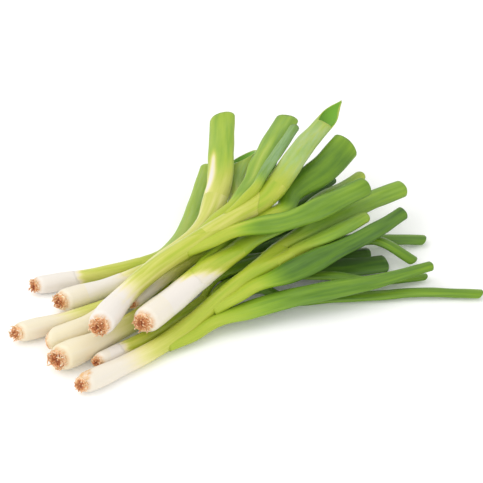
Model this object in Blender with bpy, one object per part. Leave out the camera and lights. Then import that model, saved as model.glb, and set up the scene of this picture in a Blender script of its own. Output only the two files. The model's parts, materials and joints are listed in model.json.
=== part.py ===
"""A loose bunch of ten trimmed spring onions, lying in a pile on a flat surface.

Every onion is a root plate, a stem (bulb, white shank and green neck in one) and one or more
hollow leaves that are cut off at their far end.  The onions are described one by one in
ONIONS, from the bottom of the pile to the top.  A route gives the points that a middle line
passes over and the height at which it would hang by itself.  lay() then raises it until it
clears everything that already lies below, and squeeze() narrows soft stretches that press
against a neighbour, so that no two pieces touch.

Units: metres in the scene, millimetres in the tables below.  +X runs from the roots to the
leaf tips, +Z is up.  The origin is the middle of the bunch's footprint, on the surface.
"""

import math

import bmesh
import bpy
import numpy as np

MM = 0.001                  # one millimetre in scene units

# Driving dimensions, in millimetres
GAP = 0.35                  # free space kept between two pieces
FORK_GAP = 0.6              # free space between a stem's end and the feet of its leaves
LAY_GAP = 0.7               # free space kept between crossing pieces as the pile is laid
STEM_BEND = 40.0            # length over which a stem gives way to what it lies on
LEAF_BEND = 26.0            # the same for a leaf
FOOT_FREE = 16.0            # stretch beside its own fork where a leaf isn't raised

BULB_ROUNDING = 8.0         # length over which the bulb rounds out from its root plate
BULB_LENGTH = 9.0           # where the bulb begins to fade into the shank
BULB_FADE = 17.0            # length of that fade
NECK_LENGTH = 34.0          # stretch over which the shank becomes the oval neck
PLATE_RADIUS = 0.68         # root plate's radius as a share of the bulb's
PLATE_BULGE = 0.5           # how far the bulb's own end is domed
PLATE_DEPTH = 4.4           # how far the root tuft stands out of the bulb
PLATE_TURN = 0.5            # how much a root plate turns to the front, as a slope
TURN_FADE = 14.0            # stretch of the bulb over which that turn fades out
FRONT = np.array([-0.5, -0.7, 0.5])     # the side that the root plates turn to

WALL = 0.9                  # thickness of a leaf's wall
BLIND_END = 22.0            # solid stretch of a leaf where it grows out of its stem
BLIND_TIP = 4.0             # how far the hollow runs on beyond its last ring
OPENING_OUT = 34.0          # stretch over which a leaf widens from its foot to its blade
TAPER_START = 0.4           # share of a leaf's length where its taper to the cut begins
SET_OUT = 9.0               # straight first stretch of a leaf
SIDE_FOOT = 2.2             # half width of a leaf's foot that lies beside its stem
SIDE_FOOT_HEIGHT = 3.5      # half height of that foot
FOOT_BULGE = 0.1            # how far the feet of leaves and the ends of stems are domed
SPREAD = 0.02               # how much a side leaf turns away from its stem at its foot
SQUARE_CUT_ZONE = 8.0       # stretch of a leaf that a square cut shapes
SLANT_CUT_ZONE = 1.5        # and how much more for every millimetre of slant

# How finely things are worked out and skinned
STEP = 2.0                  # spacing of the samples along a middle line
CELL = 1.0                  # cell size of the height map of the pile
LAY_ROUNDS = 3              # times a piece is raised before it counts as laid
NEARBY = 30.0               # middle lines further apart than this can't touch
NARROWEST = 0.25            # least share of its size that a squeezed piece keeps
SQUEEZE_REACH = 3           # samples on each side that a squeezed stretch spreads over
SHARED_FRAME = 12.0         # a leaf that begins this close to its stem's end follows its turn
STEM_SIDES = 10
LEAF_SIDES = 8
ROOT_POINTS = 9             # points around the ragged rim of a root tuft
BULB_RINGS = (0.0, 2.0, 5.5, 11.0)      # distances of the rings around the bulb
STEM_RING_STEP = 11.0       # spacing of the rings along the rest of a stem
LEAF_RING_STEP = 13.0       # spacing of the rings along a leaf
SHARP_ANGLE = 50.0          # edges steeper than this stay sharp

# A root tuft's rings, rim first: share of the plate's radius, share of the depth, raggedness
TUFT_RINGS = [(0.62, 1.0, 0.25), (0.98, 0.55, 0.12), (0.9, 0.01, 0.0)]
TUFT_HOLLOW = 0.8           # the tuft's middle as a share of its depth

# Colours (linear RGB) and surface values
STEM_COLOUR = (0.72, 0.74, 0.42)
ROOT_COLOUR = (0.56, 0.27, 0.11)
LEAF_GREEN = (0.18, 0.38, 0.05)
LEAF_GREY_GREEN = (0.17, 0.30, 0.12)
LEAF_PALE = (0.42, 0.56, 0.18)
STEM_ROUGHNESS = 0.32
LEAF_ROUGHNESS = 0.42
ROOT_ROUGHNESS = 0.85

LEFT, RIGHT = 0, 180        # angles around a stem, looking to its leaves; 90 is on top


def leaf(route, width, thick, tip_width=None, roll=0, slant=5, slant_side=270,
         colour=LEAF_GREEN, side=None, back=0, foot=SIDE_FOOT):
    """One leaf: its route, blade width and thickness, and how it is cut.

    roll tilts the flat blade about its middle line.  slant is how far the cut runs along
    the leaf, shortest on the side that slant_side gives in degrees: 0 is the left edge, 90
    the upper face, 270 the lower one.  Without a side the leaf grows out of the stem's end.
    With one its foot lies against the stem at that angle around it, back millimetres from
    the end, and foot is that foot's half width.
    """
    return dict(route=route, width=width, thick=thick, tip_width=tip_width or width * 0.85,
                roll=roll, slant=slant, slant_side=slant_side, colour=colour, side=side,
                back=back, foot=foot)


# The onions, bottom of the pile first: route points are (x, y, height) in millimetres.
# Leaves at a stem's end are listed from its right to its left.  A negative plate_turn turns
# the root plate to the back.
ONIONS = [
    dict(name="onion_01", bulb=6.4, shank=5.0, neck=(5.6, 4.2),
         stem=[(-129, 61, 6), (-97, 49, 5), (-61, 37, 6)],
         leaves=[leaf([(-38, 33, 6), (-13, 43, 9), (13, 65, 12), (38, 87, 16)], 18, 8,
                      roll=15)]),
    dict(name="onion_02", bulb=8.2, shank=6.0, neck=(6.2, 4.6),
         stem=[(-125, 34, 8), (-84, 25, 6), (-42, 21, 6)],
         leaves=[leaf([(0, 10, 5), (40, 2, 3), (76, -8, 3)], 16, 5),
                 leaf([(0, 24, 5), (36, 22, 4), (70, 16, 3.4)], 14, 6,
                      colour=LEAF_GREY_GREEN)]),
    dict(name="onion_03", bulb=6.8, shank=5.3, neck=(5.6, 4.6),
         stem=[(-163, 26, 7), (-134, 20, 5), (-100, 14, 5), (-58, 9, 6)],
         leaves=[leaf([(-14, -8, 4), (30, -26, 3), (74, -48, 3)], 18, 5,
                      colour=LEAF_GREY_GREEN)]),
    dict(name="onion_04", bulb=9.0, shank=6.4, neck=(7.0, 4.6),
         stem=[(-156, -13, 9), (-127, -13, 7), (-99, -10, 6), (-62, -4, 6)],
         leaves=[leaf([(-20, -13, 4), (14, -34, 3), (44, -50, 3), (74, -65, 3)], 18, 4),
                 leaf([(-20, -2, 5), (22, -20, 5), (68, -37, 6), (115, -61, 3.4)], 11, 6)]),
    dict(name="onion_05", bulb=5.4, shank=4.9, neck=(6.0, 4.4),
         stem=[(-136, -27, 6), (-112, -27, 5), (-82, -26, 5), (-48, -21, 5)],
         leaves=[leaf([(-14, -28, 4), (20, -50, 4), (57, -76, 4), (88, -91, 3)], 9, 4),
                 leaf([(-14, -18, 5), (20, -26, 4), (54, -38, 5), (76, -53, 8), (91, -76, 4)],
                      11, 5)]),
    dict(name="onion_06", bulb=6.8, shank=5.9, neck=(10.4, 5.6),
         stem=[(-155, -39, 7), (-112, -40, 6), (-62, -37, 9), (-20, -34, 14), (12, -31, 16)],
         leaves=[leaf([(-4, -49, 4), (17, -66, 4), (38, -80, 4), (66, -97, 4),
                       (104, -127, 3.2)], 9, 5, side=250, back=42),
                 leaf([(-27, -54, 12), (-6, -62, 14), (42, -82, 15), (88, -95, 15)], 15, 6,
                      roll=12, side=200, back=78, foot=4),
                 leaf([(2, -49, 23), (34, -52, 25), (78, -53, 26), (103, -51, 27)], 16, 6,
                      roll=30, colour=LEAF_GREY_GREEN, side=RIGHT, back=38, foot=5),
                 leaf([(40, -40, 29), (76, -40, 29)], 13, 6, colour=LEAF_PALE),
                 leaf([(48, -26, 28), (92, -27, 28), (121, -30, 28)], 17, 8, roll=15)]),
    dict(name="onion_07", bulb=3.9, shank=3.6, neck=(3.8, 3.0),
         stem=[(-95, -8, 19), (-70, -3, 20), (-46, 2, 20)],
         leaves=[leaf([(-10, 2, 18), (40, -4, 18), (80, -10, 18)], 14, 5,
                      colour=LEAF_GREY_GREEN)]),
    dict(name="onion_08", bulb=8.0, shank=6.2, neck=(8.8, 5.4), plate_turn=-0.9,
         stem=[(-150, 5, 8), (-121, 3, 8), (-91, 6, 16), (-54, 9, 28), (-33, 11, 32),
               (-16, 18, 35), (1, 31, 38)],
         leaves=[leaf([(25, 41, 33), (50, 62, 36)], 16, 8, tip_width=17, roll=-20, slant=24,
                      slant_side=70, side=200, back=12, foot=3.5),
                 leaf([(28, 60, 42), (60, 100, 46)], 20, 8, tip_width=20, roll=-20,
                      slant=7, colour=LEAF_PALE)]),
    dict(name="onion_09", bulb=9.0, shank=8.0, neck=(7.4, 5.2),
         stem=[(-103, -31, 24), (-78, -27, 26), (-53, -23, 30), (-18, -17, 31)],
         leaves=[leaf([(18, -18, 30), (60, -11, 29), (107, -2, 29)], 12, 6,
                      colour=LEAF_PALE),
                 leaf([(16, -5, 30), (50, -1, 29), (88, 7, 29)], 9, 4,
                      colour=LEAF_GREY_GREEN, side=LEFT, back=12)]),
    dict(name="onion_10", bulb=8.6, shank=6.4, neck=(9.0, 5.8),
         stem=[(-129, -21, 28), (-105, -10, 30), (-77, -4, 35), (-42, -5, 43), (-12, -5, 47),
               (14, -4, 50), (29, 1, 52)],
         leaves=[leaf([(14, -25, 45), (50, -29, 45), (85, -29, 45)], 17, 8, roll=25,
                      side=RIGHT, back=54, foot=4),
                 leaf([(22, 16, 50), (46, 32, 52), (90, 61, 53)], 20, 5, slant=7,
                      side=LEFT, back=38, foot=5),
                 leaf([(50, 24, 59), (81, 42, 59)], 9, 4, colour=LEAF_GREY_GREEN,
                      side=40, back=16),
                 leaf([(40, -3, 43), (60, 0, 46), (84, 4, 49), (103, 11, 51)], 22, 8,
                      tip_width=22, roll=15, slant=9, slant_side=225, side=225, back=18,
                      foot=6.5),
                 leaf([(52, 10, 58), (80, 23, 60), (113, 37, 61)], 17, 8,
                      slant=50, slant_side=120, colour=LEAF_PALE)]),
]


# ---------------------------------------------------------------- middle lines

def spline_basis(plan, count):
    """Weights that turn control values into a natural cubic spline read at count samples.

    plan holds the control points' (x, y); the samples are evenly spaced along them.
    """
    knots = np.concatenate([[0.0], np.cumsum(np.linalg.norm(np.diff(plan, axis=0), axis=1))])
    n = len(knots)
    step = np.diff(knots)
    bend = np.zeros((n, n))
    load = np.zeros((n, n))
    bend[0, 0] = bend[-1, -1] = 1.0
    for i in range(1, n - 1):
        bend[i, i - 1:i + 2] = step[i - 1] / 6, (step[i - 1] + step[i]) / 3, step[i] / 6
        load[i, i - 1:i + 2] = 1 / step[i - 1], -1 / step[i - 1] - 1 / step[i], 1 / step[i]
    curvature = np.linalg.solve(bend, load)
    along = np.linspace(0.0, knots[-1], count)
    span = np.clip(np.searchsorted(knots, along, side="right") - 1, 0, n - 2)
    high = (along - knots[span]) / step[span]
    low = 1 - high
    unit = np.eye(n)
    square = (step[span] ** 2 / 6)[:, None]
    return (low[:, None] * unit[span] + high[:, None] * unit[span + 1]
            + square * ((low ** 3 - low)[:, None] * curvature[span]
                        + (high ** 3 - high)[:, None] * curvature[span + 1]))


def frames(points):
    """Tangents, level sideways directions and upward directions along a middle line."""
    tangent = np.gradient(points, axis=0)
    tangent /= np.linalg.norm(tangent, axis=1)[:, None]
    side = np.stack([-tangent[:, 1], tangent[:, 0], np.zeros(len(points))], axis=1)
    side /= np.linalg.norm(side, axis=1)[:, None]
    return tangent, side, np.cross(tangent, side)


def ease(value):
    """Smooth step from 0 to 1."""
    value = np.clip(value, 0.0, 1.0)
    return value * value * (3 - 2 * value)


class Tube:
    """A stem or a leaf: a middle line with an oval section that changes along it."""

    def __init__(self, name, route, parent=None):
        self.name = name
        self.parent = parent            # the stem that a leaf grows out of
        route = np.array(route, float)
        length = np.linalg.norm(np.diff(route[:, :2], axis=0), axis=1).sum()
        self.line = spline_basis(route[:, :2], int(length / STEP) + 2) @ route
        self.refresh()

    def refresh(self):
        self.tangent, self.side, self.up = frames(self.line)
        if self.parent and self.starts_at_end():
            self.tangent[0] = self.parent.tangent[-1]
            self.side[0] = self.parent.side[-1]
            self.up[0] = self.parent.up[-1]
        steps = np.linalg.norm(np.diff(self.line, axis=0), axis=1)
        self.along = np.concatenate([[0.0], np.cumsum(steps)])
        self.length = self.along[-1]

    def starts_at_end(self):
        return np.linalg.norm(self.parent.line[-1] - self.line[0]) < SHARED_FRAME

    def set_section(self, half_width, half_thick, roll=0.0):
        """Half width and half thickness at every sample, and the roll in degrees."""
        self.half_width = half_width
        self.half_thick = half_thick
        self.roll = np.radians(roll) * np.ones(len(self.line))

    def axes(self):
        """The section's own two directions at every sample."""
        cos, sin = np.cos(self.roll)[:, None], np.sin(self.roll)[:, None]
        return self.side * cos + self.up * sin, self.up * cos - self.side * sin

    def reach(self, offset):
        """Highest and lowest point of the oval, offset sideways by a share of its reach."""
        cos, sin = np.cos(self.roll), np.sin(self.roll)
        a2, b2 = self.half_width ** 2, self.half_thick ** 2
        m11 = cos ** 2 / a2 + sin ** 2 / b2
        m12 = cos * sin * (1 / a2 - 1 / b2)
        m22 = sin ** 2 / a2 + cos ** 2 / b2
        width = np.sqrt(a2 * cos ** 2 + b2 * sin ** 2)
        w = offset * width
        root = np.sqrt(np.maximum((m12 * w) ** 2 - m22 * (m11 * w * w - 1), 0.0))
        return w, (-m12 * w + root) / m22, (-m12 * w - root) / m22


# ---------------------------------------------------------------- the pile

class HeightMap:
    """Top of everything that lies in the pile so far, on a square grid."""

    def __init__(self, half_size=230.0):
        self.half_size = half_size
        cells = int(2 * half_size / CELL) + 1
        self.top = np.zeros((cells, cells))

    def cell(self, x, y):
        return (np.rint((x + self.half_size) / CELL).astype(int),
                np.rint((y + self.half_size) / CELL).astype(int))

    def add(self, tube):
        for offset in np.linspace(-0.98, 0.98, 41):
            w, top, _ = tube.reach(offset)
            for share in (0.0, 0.25, 0.5, 0.75):
                here = tube.line + share * np.roll(tube.line, -1, axis=0) - share * tube.line
                edge = here + w[:, None] * tube.side
                i, j = self.cell(edge[:-1, 0], edge[:-1, 1])
                np.maximum.at(self.top, (i, j), (here[:, 2] + top)[:-1])

    def needed(self, tube):
        """Height that the middle line needs at every sample to clear the pile."""
        need = np.zeros(len(tube.line))
        for offset in np.linspace(-0.98, 0.98, 25):
            w, _, bottom = tube.reach(offset)
            edge = tube.line + w[:, None] * tube.side
            i, j = self.cell(edge[:, 0], edge[:, 1])
            below = self.top[i, j]
            gap = np.where(below > 0, LAY_GAP, 0.0)
            need = np.maximum(need, below + gap - bottom)
        return need


def lay(tube, pile, bend, held=0.0):
    """Raise the middle line in long soft bends until its underside clears the pile.

    bend is the length over which it gives way, and its first held millimetres stay put.
    """
    reach = int(bend / STEP)
    window = np.hanning(2 * reach + 3)[1:-1]
    for _ in range(LAY_ROUNDS):
        short = np.maximum(pile.needed(tube) - tube.line[:, 2], 0.0)
        short[tube.along < held] = 0.0
        if short.max() < 0.02:
            break
        rise = np.pad(greatest_nearby(short, reach), reach, mode="edge")
        rise = np.convolve(rise, window / window.sum(), mode="valid")
        if held:
            rise *= ease(tube.along / held)
        tube.line[:, 2] += rise
        tube.refresh()


def squeeze(tubes):
    """Narrow every tube where it would come closer than GAP to another one."""
    shares = [np.ones(len(tube.line)) for tube in tubes]
    for i, one in enumerate(tubes):
        for j in range(i + 1, len(tubes)):
            two = tubes[j]
            if grows_out_of_end(one, two) or grows_out_of_end(two, one):
                continue
            apart = two.line[None, :, :] - one.line[:, None, :]
            distance = np.linalg.norm(apart, axis=2)
            if distance.min() > NEARBY:
                continue
            toward = apart / np.maximum(distance, 1e-6)[:, :, None]
            reach_one = section_reach(one, toward, 0)
            reach_two = section_reach(two, toward, 1)
            if gives_way(one, two):
                share = (distance - GAP - reach_two) / reach_one
            elif gives_way(two, one):
                share = (distance - GAP - reach_one) / reach_two
            else:
                share = (distance - GAP) / (reach_one + reach_two)
            if not gives_way(two, one):
                shares[i] = np.minimum(shares[i], share.min(axis=1))
            if not gives_way(one, two):
                shares[j] = np.minimum(shares[j], share.min(axis=0))
    for tube, share in zip(tubes, shares):
        share = -greatest_nearby(-np.clip(share, NARROWEST, 1.0), SQUEEZE_REACH)
        share = np.convolve(np.pad(share, 2, mode="edge"), np.ones(5) / 5, mode="valid")
        tube.half_width = tube.half_width * share
        tube.half_thick = tube.half_thick * share


def grows_out_of_end(leaf_tube, stem):
    return leaf_tube.parent is stem and leaf_tube.spec["side"] is None


def gives_way(one, two):
    """True for a leaf beside a stem against the leaf that carries on that stem's end."""
    return (one.parent is not None and one.parent is two.parent
            and one.spec["side"] is not None and two.spec["side"] is None)


def section_reach(tube, toward, axis):
    """How far each section reaches in each of the given directions."""
    wide, high = tube.axes()
    shape = (-1, 1) if axis == 0 else (1, -1)
    pattern = "ijk,ik->ij" if axis == 0 else "ijk,jk->ij"
    across = np.einsum(pattern, toward, wide) * tube.half_width.reshape(shape)
    upward = np.einsum(pattern, toward, high) * tube.half_thick.reshape(shape)
    return np.sqrt(across ** 2 + upward ** 2) + 1e-3


def greatest_nearby(values, reach):
    padded = np.pad(values, reach, mode="edge")
    return np.max([padded[k:k + len(values)] for k in range(2 * reach + 1)], axis=0)


# ---------------------------------------------------------------- sections

def stem_section(tube, onion):
    """Bulb, even shank, then an oval neck that widens towards the leaves."""
    s = tube.along
    bulb, shank = onion["bulb"], onion["shank"]
    swelling = np.exp(-(np.maximum(s - BULB_LENGTH, 0) / BULB_FADE) ** 2)
    round_start = np.sqrt(1 - (1 - np.minimum(s / BULB_ROUNDING, 1)) ** 2)
    radius = shank + (bulb - shank) * swelling
    radius = radius * (PLATE_RADIUS + (1 - PLATE_RADIUS) * round_start)
    to_neck = ease(1 - (tube.length - s) / NECK_LENGTH)
    half_width = radius + (onion["neck"][0] - radius) * to_neck
    half_thick = radius + (onion["neck"][1] - radius) * to_neck
    tube.set_section(half_width, half_thick)


def leaf_section(tube, spec, foot):
    """From the foot's oval, out to the blade's, and a little narrower at the cut."""
    s = tube.along
    open_out = ease(s / OPENING_OUT)
    taper = ease((s / tube.length - TAPER_START) / (1 - TAPER_START))
    blade = spec["width"] + (spec["tip_width"] - spec["width"]) * taper
    half_width = foot[0] + (blade / 2 - foot[0]) * open_out
    half_thick = foot[1] + (spec["thick"] / 2 - foot[1]) * open_out
    tube.set_section(half_width, half_thick, spec["roll"] * open_out)


def leaf_foot(stem, onion, spec, place, count):
    """Where a leaf begins, which way it sets out, and the half axes of its foot."""
    half_neck, half_thick = onion["neck"]
    if spec["side"] is not None:
        at = int(np.searchsorted(stem.along, stem.length - spec["back"]))
        angle = math.radians(spec["side"])
        beside = stem.half_width[at] + spec["foot"] + GAP
        above = stem.half_thick[at] + SIDE_FOOT_HEIGHT + GAP
        out = (stem.side[at] * (math.cos(angle) * beside)
               + stem.up[at] * (math.sin(angle) * above))
        foot = spec["foot"], SIDE_FOOT_HEIGHT
        return stem.line[at] + out, stem.tangent[at] + out * SPREAD, foot
    band = 2 * half_neck / count
    sideways = -half_neck + band * (place + 0.5)
    start = stem.line[-1] + stem.side[-1] * sideways + stem.tangent[-1] * FORK_GAP
    edge = math.sqrt(1 - (sideways / half_neck) ** 2)
    return start, stem.tangent[-1], (band / 2 - GAP / 2, half_thick * max(edge, 0.5))


def build_tubes():
    """Lay all stems and leaves, one onion after the other, and return their tubes."""
    pile = HeightMap()
    tubes = []
    for onion in ONIONS:
        stem = Tube(onion["name"] + "_stem", onion["stem"])
        stem.plate_turn = onion.get("plate_turn", PLATE_TURN)
        stem_section(stem, onion)
        lay(stem, pile, STEM_BEND)
        leaves = []
        at_end = [spec for spec in onion["leaves"] if spec["side"] is None]
        for number, spec in enumerate(onion["leaves"], start=1):
            place = at_end.index(spec) if spec["side"] is None else 0
            start, ahead, foot = leaf_foot(stem, onion, spec, place, len(at_end))
            tube = Tube(f"{onion['name']}_leaf_{number}",
                        [start, start + ahead * SET_OUT] + spec["route"], stem)
            leaf_section(tube, spec, foot)
            tube.spec = spec
            lay(tube, pile, LEAF_BEND, FOOT_FREE)
            leaves.append(tube)
        for tube in [stem] + leaves:
            pile.add(tube)
        tubes += [stem] + leaves
    squeeze(tubes)
    return tubes


# ---------------------------------------------------------------- meshes

def along_line(tube, s, values):
    """One of the tube's rows of vectors, read at distance s along its middle line."""
    return np.array([np.interp(s, tube.along, values[:, k]) for k in range(3)])


def ring(tube, s, sides, inset=0.0, lean=(0.0, 0.0, 0.0)):
    """One ring of points around the middle line at distance s along it.

    lean is a slope across the tube: it carries points on its own side further along.
    """
    point = along_line(tube, s, tube.line)
    e1, e2 = (along_line(tube, s, axis) for axis in tube.axes())
    ahead = np.cross(e1, e2)
    a = np.interp(s, tube.along, tube.half_width) - inset
    b = np.interp(s, tube.along, tube.half_thick) - inset
    angles = 2 * np.pi * np.arange(sides) / sides
    offsets = [e1 * (a * np.cos(t)) + e2 * (b * np.sin(t)) for t in angles]
    return [point + offset + ahead * (offset @ np.array(lean)) for offset in offsets]


def loft(mesh, rings):
    """Skin a list of rings and return the rings of new vertices."""
    rows = [[mesh.verts.new(point * MM) for point in points] for points in rings]
    for low, high in zip(rows, rows[1:]):
        for k in range(len(low)):
            n = (k + 1) % len(low)
            mesh.faces.new((low[k], low[n], high[n], high[k]))
    return rows


def dome(mesh, row, pole, outward):
    """Close a ring of vertices with a fan around one pole."""
    top = mesh.verts.new(pole * MM)
    for k in range(len(row)):
        n = (k + 1) % len(row)
        face = (row[n], row[k], top) if outward else (row[k], row[n], top)
        mesh.faces.new(face)


def spaced(first, last, spacing):
    return np.linspace(first, last, max(int(round((last - first) / spacing)), 2) + 1)


def plate_lean(stem, s):
    """Slope that turns a stem's root plate to the front, fading out along the bulb."""
    ahead = stem.tangent[0]
    across = FRONT - ahead * (FRONT @ ahead)
    across /= np.linalg.norm(across)
    return across * (stem.plate_turn * max(1 - s / TURN_FADE, 0.0) ** 2)


def plate_axes(stem):
    """The root plate's outward direction and two directions across it."""
    ahead, lean = stem.tangent[0], plate_lean(stem, 0.0)
    outward = lean - ahead
    across = [v + ahead * (v @ lean) for v in (stem.side[0], stem.up[0])]
    return outward / np.linalg.norm(outward), *across


def stem_mesh(tube):
    mesh = bmesh.new()
    rest = spaced(BULB_RINGS[-1], tube.length, STEM_RING_STEP)
    stations = [*BULB_RINGS[:-1], *rest]
    rows = loft(mesh, [ring(tube, s, STEM_SIDES, lean=plate_lean(tube, s)) for s in stations])
    dome(mesh, rows[0], tube.line[0] + plate_axes(tube)[0] * PLATE_BULGE, True)
    dome(mesh, rows[-1], tube.line[-1] + tube.tangent[-1] * FOOT_BULGE, False)
    return mesh


def leaf_mesh(tube):
    """A leaf with a wall: an outer skin, an inner skin and the cut edge between them."""
    mesh = bmesh.new()
    slant, slant_side = tube.spec["slant"], math.radians(tube.spec["slant_side"])
    cut_zone = SQUARE_CUT_ZONE + SLANT_CUT_ZONE * abs(slant)

    wide, high = (axis[-1] for axis in tube.axes())
    slope = -0.5 * slant * (wide * (math.cos(slant_side) / tube.half_width[-1])
                            + high * (math.sin(slant_side) / tube.half_thick[-1]))

    def cut(s, inset):
        return ring(tube, s, LEAF_SIDES, inset, slope * ease(1 - (tube.length - s) / cut_zone))

    outer = spaced(0.0, tube.length, LEAF_RING_STEP)
    inner = outer[outer > BLIND_END][::-1]
    rows = loft(mesh, [cut(s, 0.0) for s in outer] + [cut(s, WALL) for s in inner])
    dome(mesh, rows[0], tube.line[0] - tube.tangent[0] * FOOT_BULGE, True)
    dome(mesh, rows[-1], along_line(tube, inner[-1] - BLIND_TIP, tube.line), False)
    return mesh


def roots_mesh(stem):
    """Root plate and tuft: a ragged, slightly domed cushion in front of the bulb."""
    mesh = bmesh.new()
    back, aside, upward = plate_axes(stem)
    centre = stem.line[0] + back * (PLATE_BULGE + GAP)
    radius = stem.half_width[0]
    sides = 2 * ROOT_POINTS

    def circle(share, depth, ragged):
        points = []
        for k in range(sides):
            t = 2 * math.pi * k / sides
            swing = 1 + ragged * (1 if k % 2 else -1)
            out = aside * math.cos(t) + upward * math.sin(t)
            points.append(centre + out * (radius * share * swing) + back * (depth * swing))
        return points

    rows = loft(mesh, [circle(share, PLATE_DEPTH * depth, ragged)
                       for share, depth, ragged in TUFT_RINGS])
    dome(mesh, rows[0], centre + back * (PLATE_DEPTH * TUFT_HOLLOW), True)
    dome(mesh, rows[-1], centre + back * (PLATE_DEPTH * TUFT_RINGS[-1][1]), False)
    return mesh


def material(name, colour, roughness):
    made = bpy.data.materials.new(name)
    made.use_nodes = True
    shader = made.node_tree.nodes["Principled BSDF"]
    shader.inputs["Base Color"].default_value = (*colour, 1.0)
    shader.inputs["Roughness"].default_value = roughness
    shader.inputs["Metallic"].default_value = 0.0
    return made


def place(name, mesh, origin, colour, roughness):
    """Turn a mesh into a named object whose own origin is at the given point."""
    bmesh.ops.recalc_face_normals(mesh, faces=mesh.faces)
    bmesh.ops.translate(mesh, verts=mesh.verts, vec=[-value * MM for value in origin])
    data = bpy.data.meshes.new(name)
    mesh.to_mesh(data)
    mesh.free()
    data.shade_smooth()
    data.set_sharp_from_angle(angle=math.radians(SHARP_ANGLE))
    data.materials.append(material(name, colour, roughness))
    placed = bpy.data.objects.new(name, data)
    placed.location = [value * MM for value in origin]
    bpy.context.scene.collection.objects.link(placed)
    return placed


def stand_on_origin(objects):
    """Shift all objects so that the middle of their footprint is the origin."""
    corners = np.array([[*(part.location + vertex.co)] for part in objects
                        for vertex in part.data.vertices])
    low, high = corners.min(axis=0), corners.max(axis=0)
    shift = [-(low[0] + high[0]) / 2, -(low[1] + high[1]) / 2, -low[2]]
    for part in objects:
        part.location = [part.location[k] + shift[k] for k in range(3)]


def main():
    for old in list(bpy.data.objects):
        bpy.data.objects.remove(old)
    objects = []
    for tube in build_tubes():
        if tube.parent:
            objects.append(place(tube.name, leaf_mesh(tube), tube.line[0],
                                 tube.spec["colour"], LEAF_ROUGHNESS))
        else:
            roots = tube.name.replace("_stem", "_roots")
            objects.append(place(tube.name, stem_mesh(tube), tube.line[0],
                                 STEM_COLOUR, STEM_ROUGHNESS))
            objects.append(place(roots, roots_mesh(tube), tube.line[0],
                                 ROOT_COLOUR, ROOT_ROUGHNESS))
    stand_on_origin(objects)


main()
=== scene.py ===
# A bunch of ten spring onions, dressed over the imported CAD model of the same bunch.
#
# Every stem, leaf and root tuft of the CAD model is a coarse tube.  Its rings are read back
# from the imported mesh, smoothed, and skinned again with the detail of the real plant: bulbs
# with ribbed skins, sheaths that open into leaves, soft forks, creased hollow leaves with a
# cut rim, and root plates with short curled roots.  Lengths are in millimetres unless a name
# says otherwise; the scene is in metres.

import json
import math

import bpy
import numpy as np
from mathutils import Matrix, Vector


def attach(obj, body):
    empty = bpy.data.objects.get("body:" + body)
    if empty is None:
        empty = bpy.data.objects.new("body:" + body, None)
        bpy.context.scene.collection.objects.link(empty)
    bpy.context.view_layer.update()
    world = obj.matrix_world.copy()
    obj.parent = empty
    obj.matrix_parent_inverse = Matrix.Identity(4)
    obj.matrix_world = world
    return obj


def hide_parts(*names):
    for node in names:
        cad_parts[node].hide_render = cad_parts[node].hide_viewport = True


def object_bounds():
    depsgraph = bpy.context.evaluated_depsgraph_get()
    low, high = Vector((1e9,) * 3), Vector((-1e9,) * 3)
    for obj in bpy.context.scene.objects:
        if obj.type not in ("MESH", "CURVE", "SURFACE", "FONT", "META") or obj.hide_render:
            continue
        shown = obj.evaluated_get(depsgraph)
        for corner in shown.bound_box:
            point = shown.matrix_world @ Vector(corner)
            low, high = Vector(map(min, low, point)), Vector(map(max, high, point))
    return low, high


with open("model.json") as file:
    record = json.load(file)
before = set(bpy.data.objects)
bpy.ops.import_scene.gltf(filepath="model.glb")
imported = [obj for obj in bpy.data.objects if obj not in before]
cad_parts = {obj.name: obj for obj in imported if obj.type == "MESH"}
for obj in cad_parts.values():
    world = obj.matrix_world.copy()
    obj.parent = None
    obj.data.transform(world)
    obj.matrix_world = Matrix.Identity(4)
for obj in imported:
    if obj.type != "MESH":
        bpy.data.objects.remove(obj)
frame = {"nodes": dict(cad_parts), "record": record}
cad_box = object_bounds()

MM = 0.001
TURN = 2 * math.pi

# Camera, at the photograph's viewing angle
CAMERA_AZIMUTH = -38.0
CAMERA_ELEVATION = 38.0
CAMERA_DISTANCE = 850.0
CAMERA_LENS = 92.0
CAMERA_SENSOR = 36.0
CAMERA_TARGET = (18.4, 11.8, 20.0)

# Light and floor, in metres and watts
WORLD_STRENGTH = 0.90
KEY_PLACE, KEY_SIZE, KEY_POWER, KEY_COLOUR = (-0.55, 0.35, 0.9), 1.1, 4.3, (1.0, 0.99, 0.97)
FILL_PLACE, FILL_SIZE, FILL_POWER, FILL_COLOUR = (-0.3, -0.9, 0.6), 0.9, 1.6, (1, 1, 1)
FLOOR_REACH = 3.0
FLOOR_GLOW = 0.06           # lifts the shadows on the pale floor

# The CAD tubes, as part.py lofts them
CAD_STEM_SIDES = 10
CAD_LEAF_SIDES = 8
WELD_DIGITS = 7             # decimals of a metre that tell two vertices apart

# All skins
UNEVEN_WAVES = (            # waves around a tube, their length along it, share of the height
    (1, 46, 0.5), (2, 31, 0.6), (3, 23, 0.4), (5, 38, 0.25),
)
RIB_WAVES = (11, 17, 23)    # ribs around a tube
RIB_HEIGHT = 0.05
STREAK_WAVES = (2, 3, 5, 8, 13)
FADE_SHARE = 0.15           # share of a leaf over which a crease or a painted highlight streak comes and goes
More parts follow.
